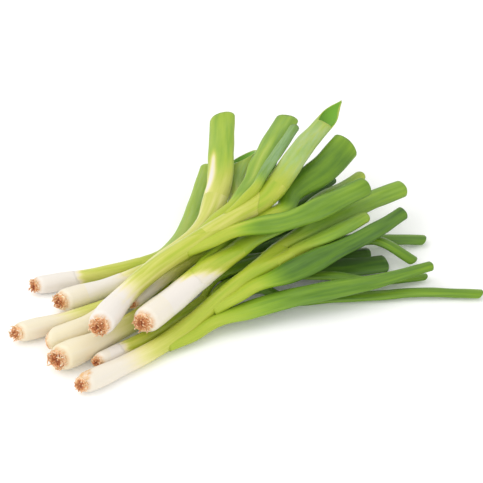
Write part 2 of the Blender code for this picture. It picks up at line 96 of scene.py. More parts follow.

# Stems
STEM_SIDES = 56
STEM_STEP = 1.6             # spacing of the rings along a stem
BASE_PLACES = (0.0, 0.25, 0.6, 1.1, 1.8, 2.6, 3.6, 4.8, 6.2, 7.8)   # closer rings at its base
BASE_END = 9.4
STEM_UNEVENNESS = 0.16
FORK_LENGTH = 24            # a stem takes the outline of its leaves' feet over this length
FOOT_BLEND = 10             # the higher, the sharper the valleys between the feet
LEAST_SHARE = 0.62          # the least of a stem's own radius that is left at its fork
FOOT_COVER = 0.12           # how far a stem's skin stands off the feet
CAP_LENGTH = 5.0            # how far a stem reaches on between the feet of its leaves
CAP_SHARES = (0.25, 0.5, 0.7, 0.86, 0.95)
DRY_LENGTH = 2.2            # the dry edge of a stem's base
EDGE_WOBBLE = 3.0           # raggedness of the edge between white and green
FIRST_GREEN, LATER_GREEN = 0.78, 0.22   # shares of the neck's green at that edge and further on
CREAM = 0.03                # creaminess of the white
STEM_STREAKS = 0.05

# Leaves
LEAF_SIDES = 44
LEAF_STEP = 2.4             # spacing of the rings along a leaf
INNER_STEP = 5.0            # spacing of the rings inside a hollow leaf
LEAF_UNEVENNESS = 0.22
LEAF_WALL = 0.75
BLIND_END = 26.0            # a leaf is hollow from here to its cut
WIDTH_SLOPE = 0.07          # how quickly a leaf may narrow along its length
MOST_FILLING = 1.45         # the most that a pinched stretch of a leaf is filled out
GREENING = 46.0             # a leaf takes its own green over this length
LEAF_STREAKS = 0.06
HIGHLIGHT_STREAK_WIDTH = 0.3          # half width of a single painted highlight streak, in radians
TIP_LENGTH = 16             # a leaf's own end colour comes in over this length
RIM = ((0.12, 0.10), (0.5, 0.14), (0.9, 0.02))   # share of the wall, how far past the cut
TORN_PLACES = (0.0, 0.36, 0.5, 1.0)     # a torn cut: from its near side to its tip,
TORN_HEIGHTS = (-0.72, -0.66, -0.3, 1.0)   # how far it reaches along the leaf
FULL_FOOT = 4.2             # a leaf's foot smaller than this is swollen where it comes out
MOST_SWELLING = 1.5
END_LEAD = (13.0, 6.0)      # how far back in its stem a leaf from the stem's end starts
SIDE_LEAD = ((30.0, 0.30), (20.0, 0.50), (10.0, 0.72))   # how far back, how far out of it
FOOT_SWELLING = ((1.0, 0.16), (0.36, 0.05))   # share of the swelling, how far drawn inward

# Root tufts
PLATE_SIDES = 28
PLATE_PROFILE = (           # share of the radius, how far out, how dry
    (0.86, -0.8, 0.35), (1.0, -0.1, 0.6), (0.98, 0.6, 0.8), (0.86, 1.3, 0.7),
    (0.66, 1.8, 0.45), (0.42, 2.0, 0.3), (0.2, 1.9, 0.2),
)
ROOT_SIDES, ROOT_STEPS = 6, 7
ROOTS_PER_AREA = 1.15
ROOT_REACH = 4.6            # roots stay this near the middle of the plate, outward
ROOT_SPREAD = 1.12          # and within this share of its radius
ROOT_CLEARANCE = 0.7        # and this high above the floor


# ------------------------------------------------------------------ reading the CAD tubes

def weld(node):
    """Vertices (mm) and neighbours of a CAD node, with doubled vertices made one."""
    mesh = frame["nodes"][node].data
    co = np.empty(len(mesh.vertices) * 3)
    mesh.vertices.foreach_get("co", co)
    co = co.reshape(-1, 3)
    points, index = np.unique(np.round(co, WELD_DIGITS), axis=0, return_inverse=True)
    index = index.ravel()
    neighbours = [set() for _ in points]
    for polygon in mesh.polygons:
        ring = [int(index[v]) for v in polygon.vertices]
        for one in ring:
            neighbours[one].update(ring)
    for one, around in enumerate(neighbours):
        around.discard(one)
    return points / MM, neighbours


def rings_of(node, sides):
    """The rings of a lofted CAD tube, base first, as a list of arrays of points."""
    points, neighbours = weld(node)
    poles = [k for k, around in enumerate(neighbours) if len(around) == sides]
    lift = [np.linalg.norm(points[list(neighbours[k])].mean(axis=0) - points[k]) for k in poles]
    is_leaf = "_leaf_" in node
    start = poles[int(np.argmin(lift) if is_leaf else np.argmax(lift))]
    seen, level, rings = {start}, [start], []
    while True:
        nearby = set().union(*[neighbours[k] for k in level]) - seen
        if len(nearby) < sides:
            break
        seen |= nearby
        level = sorted(nearby)
        rings.append(points[level])
    if is_leaf:
        centres = np.array([ring.mean(axis=0) for ring in rings])
        rim = int(np.argmin(np.linalg.norm(np.diff(centres, axis=0), axis=1)))
        rings = rings[:rim + 1]
    return rings


def cubic(knots, values, at):
    """Natural cubic spline through values at knots, read at the given places."""
    count = len(knots)
    step = np.diff(knots)
    bend = np.eye(count)
    load = np.zeros((count, count))
    for k in range(1, count - 1):
        bend[k, k - 1:k + 2] = step[k - 1] / 6, (step[k - 1] + step[k]) / 3, step[k] / 6
        load[k, k - 1:k + 2] = 1 / step[k - 1], -1 / step[k - 1] - 1 / step[k], 1 / step[k]
    curve = np.linalg.solve(bend, load @ values)
    span = np.clip(np.searchsorted(knots, at, side="right") - 1, 0, count - 2)
    high = ((at - knots[span]) / step[span])[:, None]
    low = 1 - high
    square = (step[span] ** 2 / 6)[:, None]
    return (low * values[span] + high * values[span + 1]
            + square * ((low ** 3 - low) * curve[span] + (high ** 3 - high) * curve[span + 1]))


def ease(value):
    """Smooth step from 0 to 1."""
    value = np.clip(value, 0.0, 1.0)
    return value * value * (3 - 2 * value)


def away_from(turn, facing):
    """How far each angle lies from a facing in degrees, in radians and without a sign."""
    return np.abs((turn - math.radians(facing) + math.pi) % TURN - math.pi)


def between(share, begins, ends):
    """1 between two places of a leaf, easing to 0 past them."""
    return ease((share - begins) / FADE_SHARE) * ease((ends - share) / FADE_SHARE)


def smoothed(ring):
    """Values around a ring, each evened out with its two neighbours."""
    return 0.5 * ring + 0.25 * np.roll(ring, 1) + 0.25 * np.roll(ring, -1)


def frames_of(tangent):
    """Level sideways and upward directions for each tangent."""
    side = np.stack([-tangent[:, 1], tangent[:, 0], np.zeros(len(tangent))], axis=1)
    side /= np.linalg.norm(side, axis=1)[:, None]
    return side, np.cross(tangent, side)


class Line:
    """A middle line with an oval section, both smooth along it.

    A section is the symmetric 2 x 2 matrix that turns a unit circle into the oval, in the
    sideways and upward directions of the line.  A lean is a slope in the same directions: it
    carries points on its own side further along the line, as at a slanting cut.
    """

    is_torn = False             # set on the leaf whose end is torn and not cut

    def __init__(self, centres, sections, leans):
        self.centres = np.array(centres)
        self.sections = np.array(sections)
        self.leans = np.array(leans)
        gaps = np.linalg.norm(np.diff(self.centres, axis=0), axis=1)
        self.knots = np.concatenate([[0.0], np.cumsum(gaps)])
        self.length = self.knots[-1]

    def read(self, at):
        """Centre, tangent, sideways, upward and section at each place along the line."""
        at = np.atleast_1d(np.asarray(at, float))
        inside = np.clip(at, 0.0, self.length)
        small = 0.4
        ahead = cubic(self.knots, self.centres, np.minimum(inside + small, self.length))
        behind = cubic(self.knots, self.centres, np.maximum(inside - small, 0.0))
        tangent = ahead - behind
        tangent /= np.linalg.norm(tangent, axis=1)[:, None]
        centre = cubic(self.knots, self.centres, inside) + tangent * (at - inside)[:, None]
        side, up = frames_of(tangent)
        flat = cubic(self.knots, self.sections.reshape(len(self.knots), 4), inside)
        return centre, tangent, side, up, flat.reshape(-1, 2, 2)

    def lean(self, at):
        """The lean at each place along the line."""
        return np.stack([np.interp(at, self.knots, self.leans[:, k]) for k in (0, 1)], axis=1)


def root_of(matrix):
    """Square root of a symmetric positive 2 x 2 matrix."""
    size = math.sqrt(max(np.linalg.det(matrix), 1e-9))
    return (matrix + size * np.eye(2)) / math.sqrt(np.trace(matrix) + 2 * size)


def line_of(node, sides):
    """The smooth line through a CAD tube's rings."""
    rings = rings_of(node, sides)
    centres = np.array([ring.mean(axis=0) for ring in rings])
    rough = Line(centres, [np.eye(2)] * len(rings), np.zeros((len(rings), 2)))
    _, tangent, side, up, _ = rough.read(rough.knots)
    sections, leans = [], []
    for k, ring in enumerate(rings):
        offset = ring - centres[k]
        flat = np.stack([offset @ side[k], offset @ up[k]])
        sections.append(root_of(2 * flat @ flat.T / sides))
        leans.append(np.linalg.lstsq(flat.T, offset @ tangent[k], rcond=None)[0])
    return Line(centres, sections, leans)


def evened(line):
    """The same line with its pinched stretches filled out, as a leaf's blade keeps its width."""
    size = np.sqrt([np.linalg.det(section) for section in line.sections])
    apart = np.abs(line.knots[:, None] - line.knots[None, :])
    full = (size[None, :] - WIDTH_SLOPE * apart).max(axis=1)
    scale = np.minimum(full / size, MOST_FILLING)
    return Line(line.centres, line.sections * scale[:, None, None], line.leans)


def torn(along):
    """Turns a flat slanting cut into one whose near wall ends squarely before a long tip."""
    reach = np.abs(along).max(axis=1, keepdims=True) + 1e-9
    away = np.arccos(np.clip(-along / reach, -1, 1)) / math.pi
    return reach * np.interp(away, TORN_PLACES, TORN_HEIGHTS)


def reshaped(line, taper, widen):
    """The same line, widened, and narrowing over its outer half to a share of its size."""
    scale = 1 - (1 - taper) * ease(2 * line.knots / line.length - 1)
    wider = np.diag([widen, 1.0]) @ line.sections
    return Line(line.centres, wider * scale[:, None, None], line.leans)


def skin_points(line, at, flat):
    """Points on rings across the line, from their flat positions (rings, points, 2)."""
    centre, tangent, side, up, _ = line.read(at)
    along = np.einsum("mni,mi->mn", flat, line.lean(at))
    if line.is_torn:
        along = torn(along)
    return (centre[:, None] + flat[:, :, :1] * side[:, None] + flat[:, :, 1:] * up[:, None]
            + along[:, :, None] * tangent[:, None])


# ------------------------------------------------------------------ skins

class Skin:
    """Collects the vertices, faces and painted values of one visible piece."""

    def __init__(self):
        self.points, self.faces, self.values, self.count = [], [], {}, 0

    def add(self, points, **values):
        """Add points and their values; returns their numbers in the same shape."""
        shape = points.shape[:-1]
        flat = points.reshape(-1, 3)
        numbers = np.arange(self.count, self.count + len(flat)).reshape(shape)
        self.points.append(flat)
        for name in ("green", "bloom", "inner", "dry", "turn", "along"):
            value = np.broadcast_to(np.asarray(values.get(name, 0.0), float), shape)
            self.values.setdefault(name, []).append(value.reshape(-1))
        self.count += len(flat)
        return numbers

    def grid(self, numbers, flip=False):
        """Quads between neighbouring closed rows."""
        one, two = numbers[:-1], numbers[1:]
        quads = np.stack([one, np.roll(one, -1, 1), np.roll(two, -1, 1), two], -1)
        quads = quads.reshape(-1, 4)
        self.faces += (quads[:, ::-1] if flip else quads).tolist()

    def cap(self, row, pole, flip=False):
        """A fan from a closed row to one vertex."""
        for k in range(len(row)):
            face = [int(row[k]), int(row[(k + 1) % len(row)]), int(pole)]
            self.faces.append(face[::-1] if flip else face)

    def make(self, name, material, slot, replaced):
        """Make the piece, let it ride on the bunch and stand for its CAD nodes."""
        mesh = bpy.data.meshes.new(name)
        points = np.clip(np.concatenate(self.points) * MM, *cad_box)
        mesh.from_pydata(points.tolist(), [], self.faces)
        mesh.shade_smooth()
        for key in ("green", "bloom", "inner", "dry"):
            layer = mesh.attributes.new(key, "FLOAT", "POINT")
            layer.data.foreach_set("value", np.concatenate(self.values[key]))
        turn = np.concatenate(self.values["turn"])
        along = np.concatenate(self.values["along"])
        grain = np.stack([np.cos(turn), np.sin(turn), along / 10], axis=1)
        layer = mesh.attributes.new("grain", "FLOAT_VECTOR", "POINT")
        layer.data.foreach_set("vector", grain.ravel())
        mesh.materials.append(material)
        piece = bpy.data.objects.new(name, mesh)
        bpy.context.scene.collection.objects.link(piece)
        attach(piece, "root")
        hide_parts(*replaced)
        return piece


def unevenness(turn, along, size, seed):
    """Soft swellings and hollows, about size mm high, that vary around and along a tube."""
    draw = np.random.default_rng(seed)
    total = np.zeros(np.broadcast(turn, along).shape)
    for wave, length, share in UNEVEN_WAVES:
        phase, shift = draw.uniform(0, TURN, 2)
        total += share * np.cos(wave * turn + phase) * np.sin(TURN * along / length + shift)
    return size * total


def ribs(turn, along, seed):
    """Fine lengthwise ribs, as a height between -1 and 1."""
    draw = np.random.default_rng(seed)
    total = np.zeros(np.broadcast(turn, along).shape)
    for wave in RIB_WAVES:
        phase, length = draw.uniform(0, TURN), draw.uniform(60, 120)
        total += np.cos(wave * turn + phase + 0.5 * np.sin(TURN * along / length)) / 3
    return total


def streaks(turn, along, seed):
    """Lengthwise streaks of colour between -1 and 1."""
    draw = np.random.default_rng(seed)
    total = np.zeros(np.broadcast(turn, along).shape)
    for wave in STREAK_WAVES:
        phase, length = draw.uniform(0, TURN), draw.uniform(50, 140)
        total += np.cos(wave * turn + phase) * np.cos(TURN * along / length + phase) / 3
    return np.clip(total, -1, 1)


# ------------------------------------------------------------------ stems

def oval_exit(centre, section, direction):
    """How far a ray from the middle goes before it leaves an off-centre oval, or 0."""
    inverse = np.linalg.inv(section @ section.T)
    a = np.einsum("ik,kl,il->i", direction, inverse, direction)
    b = direction @ (inverse @ centre)
    c = centre @ inverse @ centre - 1
    inside = b * b - a * c
    return np.where(inside > 0, (b + np.sqrt(np.maximum(inside, 0))) / a, 0.0)


def around_feet(feet, toward, radius):
    """How far the outline around the feet of the leaves reaches in each direction."""
    reach = np.array([oval_exit(middle, oval, toward) for middle, oval in feet])
    reach = (reach ** FOOT_BLEND).sum(axis=0) ** (1 / FOOT_BLEND)
    return smoothed(np.maximum(reach, LEAST_SHARE * radius)) + FOOT_COVER


def stem_points(line, at, turn, feet, swell):
    """Points of a stem's skin at places at along it and angles turn around it."""
    section = line.read(at)[4]
    circle = np.stack([np.cos(turn), np.sin(turn)])
    flat = np.einsum("mij,jn->mni", section, circle)
    if feet:
        radius = np.linalg.norm(flat, axis=2)
        toward = flat[-1] / radius[-1][:, None]
        reach = around_feet(feet, toward, radius[-1])
        share = ease(1 - (line.length - at) / FORK_LENGTH)[:, None]
        scale = 1 + share * (reach / radius[-1] - 1)
        flat = flat * scale[:, :, None]
    length = np.linalg.norm(flat, axis=2, keepdims=True)
    flat = flat * (1 + swell[:, :, None] / length)
    return skin_points(line, at, flat)


def stem_green(onion, at, turn, seed):
    """How green the skin is along a stem."""
    start, length = onion["white"]
    facing, later = onion.get("white_side", (0, 0))
    start = start + later * np.cos(turn - math.radians(facing))
    wobble = EDGE_WOBBLE * streaks(turn, at * 0.2, seed + 7) * min(length / 12, 1.5)
    rise = ease((at + wobble - start) / length)
    further = ease((at - start) / (1.6 * length + 40))
    green = onion["neck"] * (FIRST_GREEN * rise + LATER_GREEN * further)
    green = green + onion.get("cream", CREAM) * (1 - rise)
    return green + STEM_STREAKS * rise * streaks(turn, at, seed) * onion.get("streaks", 1.0)


def stem_swell(turn, at, seed):
    """Unevenness and ribs of a stem's skin."""
    return unevenness(turn, at, STEM_UNEVENNESS, seed) + RIB_HEIGHT * ribs(turn, at, seed + 1)


def make_stem(onion, line, feet, seed):
    """A stem: its skin, both its ends, and the outer sheaths over it."""
    skin = Skin()
    turn = np.linspace(0, TURN, STEM_SIDES, endpoint=False)[None, :]
    steps = max(int((line.length - BASE_END) / STEM_STEP), 4)
    rest = np.linspace(BASE_END, line.length, steps)
    at = np.concatenate([BASE_PLACES, rest])[:, None]
    swell = stem_swell(turn, at, seed) * ease(at / 8)
    points = stem_points(line, at[:, 0], turn[0], feet, swell)
    green = stem_green(onion, at, turn, seed)
    dry = (1 - ease(at / DRY_LENGTH)) * 0.8 + 0 * turn
    facing, reach = onion.get("patch", (0, 0))
    if reach:
        edge = reach * (1 - (away_from(turn, facing) / 1.3) ** 2)
        edge = edge + 1.2 * streaks(turn, at * 3, seed + 9)
        dry = np.maximum(dry, ease((edge - at) / 3 + 0.5))
    body = skin.add(points, green=green, dry=dry, turn=turn, along=at)
    skin.grid(body)
    # the base closes behind the root plate
    centre, tangent = [value[0] for value in line.read([0.0])[:2]]
    pole = skin.add(centre - tangent * 0.5, dry=1.0)
    skin.cap(body[0], pole, flip=True)
    # the end closes in a soft web between the feet of the leaves, or thins out over one leaf
    last = points[-1]
    centre, tangent = [value[0] for value in line.read([line.length])[:2]]
    row = body[-1][None]
    for share in CAP_SHARES:
        shrink = math.sqrt(1 - share ** 2) if len(feet) > 1 else 1 - 0.25 * share ** 2
        shape = centre + (last - centre) * shrink + tangent * (CAP_LENGTH * share)
        now = skin.add(shape[None], green=green[-1:], turn=turn, along=line.length)
        skin.grid(np.concatenate([row, now]))
        row = now
    pole = skin.add(centre + tangent * CAP_LENGTH, green=green[-1, 0], along=line.length)
    skin.cap(row[0], pole)
    for number, sheath in enumerate(onion.get("sheaths", ())):
        add_sheath(skin, line, feet, onion, sheath, seed, number)
    return skin


def add_sheath(skin, line, feet, onion, sheath, seed, number):
    """An outer skin over the stem, from where it comes away to its own slanting edge."""
    start, edge, slant, facing, thick, shade = sheath
    turn = np.linspace(0, TURN, STEM_SIDES, endpoint=False)[None, :]
    ragged = 0.5 * streaks(turn, number * 31.0, seed + 40 + number)
    end = edge + slant * (0.5 - 0.5 * np.cos(turn - math.radians(facing))) ** 1.5 + ragged
    end = np.minimum(end, line.length)
    share = np.linspace(0, 1, max(int((edge + slant - start) / 1.5), 6))[:, None]
    at = start + (end - start) * share
    rows = []
    for row in at:
        swell = stem_swell(turn, row, seed)
        lift = thick * ease((row - start) / 12) - 0.04
        rows.append(sheath_row(line, row, turn[0], feet, swell[0] + lift))
    points = np.array(rows)
    green = stem_green(onion, at, turn, seed) + shade
    body = skin.add(points, green=green, turn=turn, along=at)
    skin.grid(body)
    lip = sheath_row(line, end[0] + 0.15, turn[0], feet, swell[0] - 0.06)
    lip = skin.add(lip[None], green=green[-1:] - 0.04, turn=turn, along=end)
    skin.grid(np.concatenate([body[-1:], lip]))


def sheath_row(line, at, turn, feet, swell):
    """Points of a skin where every angle has its own place along the line."""
    centre, _, side, up, section = line.read(at)
    circle = np.stack([np.cos(turn), np.sin(turn)], axis=1)
    flat = np.einsum("mij,mj->mi", section, circle)
    if feet:
        oval = line.read([line.length])[4][0]
        radius = np.linalg.norm(flat, axis=1)
        toward = flat / radius[:, None]
        ends = np.linalg.norm(circle @ oval, axis=1)
        reach = around_feet(feet, toward, ends)
        share = ease(1 - (line.length - at) / FORK_LENGTH)
        flat = flat * (1 + share * (reach / ends - 1))[:, None]
    length = np.linalg.norm(flat, axis=1, keepdims=True)
    flat = flat * (1 + swell[:, None] / length)
    return centre + flat[:, :1] * side + flat[:, 1:] * up


# ------------------------------------------------------------------ leaves

def with_lead(line, stem, is_end):
    """A leaf's line with a first stretch inside its stem, and how many rings that adds."""
    end, ahead, _, _, oval = [value[0] for value in stem.read([stem.length])]
    first = line.centres[0]
    centres, sections = [], []
    filled = FULL_FOOT / math.sqrt(np.linalg.det(line.sections[0]))
    filled = np.clip(filled, 1.0, MOST_SWELLING)
    if is_end:
        offset = first - end
        offset -= ahead * (offset @ ahead)
        for back in END_LEAD:
            middle, _, _, _, here = [value[0] for value in stem.read([stem.length - back])]
            share = math.sqrt(np.linalg.det(here) / np.linalg.det(oval))
            centres.append(middle + offset * share)
            sections.append(line.sections[0] * share * 0.9)
        leans = np.concatenate([np.zeros((len(END_LEAD), 2)), line.leans])
        centres, sections = centres + list(line.centres), sections + list(line.sections)
        return Line(centres, sections, leans), len(END_LEAD)
    places = np.linspace(0, stem.length, 200)
    middles = stem.read(places)[0]
    nearest = places[int(np.argmin(np.linalg.norm(middles - first, axis=1)))]
    offset = first - stem.read([nearest])[0][0]
    for back, out in SIDE_LEAD:
        middle = stem.read([max(nearest - back, 1.0)])[0][0]
        centres.append(middle + offset * out)
        sections.append(line.sections[0] * filled * (0.85 + 0.2 * out))
    grown = list(line.sections)
    moved = list(line.centres)
    for k, (more, inward) in enumerate(FOOT_SWELLING):
        grown[k] = grown[k] * (1 + (filled - 1) * more)
        moved[k] = moved[k] - offset * inward
    leans = np.concatenate([np.zeros((len(SIDE_LEAD), 2)), line.leans])
    return Line(centres + moved, sections + grown, leans), len(SIDE_LEAD)


def leaf_points(line, at, turn, swell, inset=0.0):
    """Points of a leaf's skin."""
    section = line.read(at)[4]
    circle = np.stack([np.cos(turn), np.sin(turn)])
    flat = np.einsum("mij,jn->mni", section, circle)
    length = np.linalg.norm(flat, axis=2, keepdims=True)
    return skin_points(line, at, flat * (1 + (swell[:, :, None] - inset) / length))


def leaf_swell(turn, at, length, look, seed):
    """Unevenness, ribs and the creases of a leaf's skin."""
    swell = unevenness(turn, at, LEAF_UNEVENNESS, seed) * ease(at / 20)
    swell = swell + RIB_HEIGHT * ribs(turn, at, seed + 1)
    for facing, first, last, depth, width in look.get("creases", ()):
        where = between(at / length, first, last)
        swell = swell - depth * where * np.exp(-(away_from(turn, facing) / width) ** 2)
    return swell


def make_leaf(look, line, lead, start_green, seed):
    """A hollow leaf: outer skin, rounded rim, inner skin."""
    skin = Skin()
    turn = np.linspace(0, TURN, LEAF_SIDES, endpoint=False)[None, :]
    steps = max(int(line.length / LEAF_STEP), 8)
    at = np.linspace(0, line.length, steps)[:, None]
    begin = line.knots[lead]
    swell = leaf_swell(turn, at, line.length, look, seed)
    points = leaf_points(line, at[:, 0], turn[0], swell)
    grown = ease((at - begin) / look.get("greening", GREENING))
    first = look.get("first", start_green)
    green = first + (look["green"] - first) * grown
    # Painted highlight: the streak makes one side of the leaf paler, as a gloss highlight would.
    if "highlight_streak" in look:
        facing, begins, ends, paler = look["highlight_streak"]
        where = between(at / line.length, begins, ends)
        green = green - paler * where * np.exp(-(away_from(turn, facing) / HIGHLIGHT_STREAK_WIDTH) ** 2)
    green = green + LEAF_STREAKS * streaks(turn, at, seed + 3) * (0.4 + grown)
    tip = ease((at - line.length + TIP_LENGTH) / TIP_LENGTH)
    green = green + look.get("tip", 0.0) * tip
    bloom = look["bloom"] * ease((at - begin + 6) / 40) * (1 - 0.4 * tip)
    bloom = bloom * (0.75 + 0.35 * streaks(turn, at, seed + 5))
    body = skin.add(points, green=green, bloom=bloom, turn=turn, along=at)
    skin.grid(body)
    centre, tangent = [value[0] for value in line.read([0.0])[:2]]
    pole = skin.add(centre - tangent * 0.1, green=green[0, 0])
    skin.cap(body[0], pole, flip=True)
    # rim: over the edge of the wall and in
    last = body[-1:]
    for inset, out in RIM:
        place = np.array([line.length])
        shape = leaf_points(line, place, turn[0], swell[-1:], inset * LEAF_WALL)
        shape = shape + line.read(place)[1][0] * out
        row = skin.add(shape, green=green[-1:] - 0.12, inner=0.35, turn=turn,
                       along=line.length)
        skin.grid(np.concatenate([last, row]))
        last = row
    inner_at = np.arange(line.length - 1.0, begin + BLIND_END, -INNER_STEP)[:, None]
    inner_swell = leaf_swell(turn, inner_at, line.length, look, seed)
    inner = leaf_points(line, inner_at[:, 0], turn[0], inner_swell, LEAF_WALL)
    inner = skin.add(inner, green=look["green"], inner=1.0, turn=turn, along=inner_at)
    skin.grid(np.concatenate([last, inner]))
    pole = skin.add(line.read([inner_at[-1, 0] - 3.0])[0][0], green=look["green"], inner=1.0)
    skin.cap(inner[-1], pole)
    return skin


# ------------------------------------------------------------------ roots

def make_roots(stem, onion, seed):
    """A root plate and its short, curled, cut roots."""
    draw = np.random.default_rng(seed)
    skin = Skin()
    centre, tangent, side, up, section = [value[0] for value in stem.read([0.0])]
    lean = stem.lean([0.0])[0]
    back = lean[0] * side + lean[1] * up - tangent
    back /= np.linalg.norm(back)
    side = side + tangent * lean[0]
    up = up + tangent * lean[1]
    radius = math.sqrt(np.linalg.det(section))
    turn = np.linspace(0, TURN, PLATE_SIDES, endpoint=False)
    rows = []
    for share, out, tone in PLATE_PROFILE:
        rough = 1 + 0.05 * draw.standard_normal(PLATE_SIDES)
        reach = radius * share * smoothed(rough)
        depth = out + 0.14 * draw.standard_normal(PLATE_SIDES)
        ring = (centre + np.cos(turn)[:, None] * side * reach[:, None]
                + np.sin(turn)[:, None] * up * reach[:, None] + back * depth[:, None])
        dry = tone + 0.12 * draw.standard_normal(PLATE_SIDES)
        rows.append(skin.add(ring, dry=dry, turn=turn, along=out * 5))
    skin.grid(np.array(rows), flip=True)
    pole = skin.add(centre + back * 1.8, dry=0.15)
    skin.cap(rows[-1], pole, flip=True)
    first = skin.add(centre - back * 0.6, dry=0.4)
    skin.cap(rows[0], first)
    count = int(onion.get("roots", 1.0) * ROOTS_PER_AREA * radius ** 2) + 10
    for _ in range(count):
        share = math.sqrt(draw.uniform(0.0, 0.9))
        angle = draw.uniform(0, TURN)
        out = math.cos(angle) * side + math.sin(angle) * up
        foot = centre + out * (radius * share) + back * (1.9 - 1.1 * share ** 3)
        heading = back * draw.uniform(0.5, 1.1)
        heading = heading + out * (0.15 + share) * draw.uniform(0.6, 1.2)
        heading = heading + 0.45 * draw.standard_normal(3)
        length = draw.uniform(1.8, 4.2) * onion.get("root_length", 1.0)
        add_root(skin, draw, foot, heading, back, radius, length, centre, 0.12 + 0.5 * share)
    return skin


def add_root(skin, draw, foot, heading, back, radius, length, centre, pale):
    """One short root: a thin tapering tube that curls as it goes."""
    heading = heading / np.linalg.norm(heading)
    curl = np.cross(heading, draw.standard_normal(3))
    curl = 0.55 * curl / np.linalg.norm(curl)
    point, path = foot - heading * 0.6, []
    for _ in range(ROOT_STEPS):
        path.append(point)
        heading = heading + curl * draw.uniform(0.3, 1.0) + 0.12 * draw.standard_normal(3)
        heading = heading / np.linalg.norm(heading)
        point = point + heading * (length / (ROOT_STEPS - 1))
        depth = (point - centre) @ back
        point = point - back * max(depth - ROOT_REACH, 0.0)
        across = point - centre - back * ((point - centre) @ back)
        spread = np.linalg.norm(across)
        limit = ROOT_SPREAD * radius
        if spread > limit:
            point = point - across * (1 - limit / spread)
        point[2] = max(point[2], ROOT_CLEARANCE)
    path = np.array(path)
    along = np.gradient(path, axis=0)
    along /= np.linalg.norm(along, axis=1)[:, None] + 1e-9
    aside = np.cross(along, [0.31, 0.52, 0.79])
    aside /= np.linalg.norm(aside, axis=1)[:, None] + 1e-9
    other = np.cross(along, aside)
    thick = draw.uniform(0.34, 0.56) * np.linspace(1.05, 0.7, ROOT_STEPS)
    turn = np.linspace(0, TURN, ROOT_SIDES, endpoint=False)
    rows = (path[:, None] + (np.cos(turn)[None, :, None] * aside[:, None]
                             + np.sin(turn)[None, :, None] * other[:, None])
            * thick[:, None, None])
    tone = np.linspace(pale - 0.1, pale + 0.25, ROOT_STEPS)[:, None]
    tone = tone + draw.uniform(-0.15, 0.25)
    numbers = skin.add(rows, dry=tone, turn=turn[None], along=draw.uniform(0, 300))
    skin.grid(numbers)
    tip = skin.add(path[-1] + along[-1] * 0.2, dry=tone[-1, 0] + 0.1)
    skin.cap(numbers[-1], tip)
    end = skin.add(path[0] - along[0] * 0.1, dry=tone[0, 0])
    skin.cap(numbers[0], end, flip=True)


# ------------------------------------------------------------------ materials

def srgb(text):
    """A colour written as six hexadecimal digits, as linear RGBA."""
    parts = [int(text[k:k + 2], 16) / 255 for k in (0, 2, 4)]
    linear = [c / 12.92 if c <= 0.04045 else ((c + 0.055) / 1.055) ** 2.4 for c in parts]
    return (*linear, 1.0)


class Nodes:
    """Shorthand for building one material's node tree."""

    def __init__(self, name):
        self.material = bpy.data.materials.new(name)
        self.material.use_nodes = True
        self.tree = self.material.node_tree
        self.shader = self.tree.nodes["Principled BSDF"]

    def link(self, output, target):
        self.tree.links.new(output, target)

    def attribute(self, name, output="Fac"):
        node = self.tree.nodes.new("ShaderNodeAttribute")
        node.attribute_name = name
        return node.outputs[output]

    def math(self, operation, one, two, clamp=False):
        node = self.tree.nodes.new("ShaderNodeMath")
        node.operation = operation
        node.use_clamp = clamp
        for socket, value in zip(node.inputs, (one, two)):
            if isinstance(value, (int, float)):
                socket.default_value = value
            else:
                self.link(value, socket)
        return node.outputs[0]

    def stretched(self, scale):
        """The grain coordinates, scaled: twice across the plant, then along it."""
        node = self.tree.nodes.new("ShaderNodeMapping")
        node.inputs["Scale"].default_value = scale
        self.link(self.attribute("grain", "Vector"), node.inputs["Vector"])
        return node.outputs["Vector"]

    def noise(self, vector, scale, detail=3.0, rough=0.55):
        node = self.tree.nodes.new("ShaderNodeTexNoise")
        node.inputs["Scale"].default_value = scale
        node.inputs["Detail"].default_value = detail
        node.inputs["Roughness"].default_value = rough
        self.link(vector, node.inputs["Vector"])
        return node.outputs["Fac"]

    def ramp(self, value, stops):
        node = self.tree.nodes.new("ShaderNodeValToRGB")
        points = node.color_ramp.elements
        while len(points) < len(stops):
            points.new(0.5)
        for point, (place, colour) in zip(points, stops):
            point.position = place
            point.color = srgb(colour)
        self.link(value, node.inputs["Fac"])
        return node.outputs["Color"]

    def spread(self, value, low, high, to_low=0.0, to_high=1.0):
        node = self.tree.nodes.new("ShaderNodeMapRange")
        for name, number in (("From Min", low), ("From Max", high),
                             ("To Min", to_low), ("To Max", to_high)):
            node.inputs[name].default_value = number
        self.link(value, node.inputs["Value"])
        return node.outputs["Result"]

    def mix(self, share, one, two, blend="MIX"):
        node = self.tree.nodes.new("ShaderNodeMix")
        node.data_type = "RGBA"
        node.blend_type = blend
        node.clamp_factor = True
        for name, value in (("Factor", share), ("A", one), ("B", two)):
            socket = [s for s in node.inputs if s.name == name
                      and s.type == ("VALUE" if name == "Factor" else "RGBA")][0]
            if isinstance(value, str):
                socket.default_value = srgb(value)
            elif isinstance(value, (int, float)):
                socket.default_value = value
            else:
                self.link(value, socket)
        return [s for s in node.outputs if s.type == "RGBA"][0]

    def bump(self, height, strength, distance_mm):
        node = self.tree.nodes.new("ShaderNodeBump")
        node.inputs["Strength"].default_value = strength
        node.inputs["Distance"].default_value = distance_mm * MM
        self.link(height, node.inputs["Height"])
        self.link(node.outputs["Normal"], self.shader.inputs["Normal"])

    def set(self, **values):
        for name, value in values.items():
            self.shader.inputs[name.replace("_", " ")].default_value = value


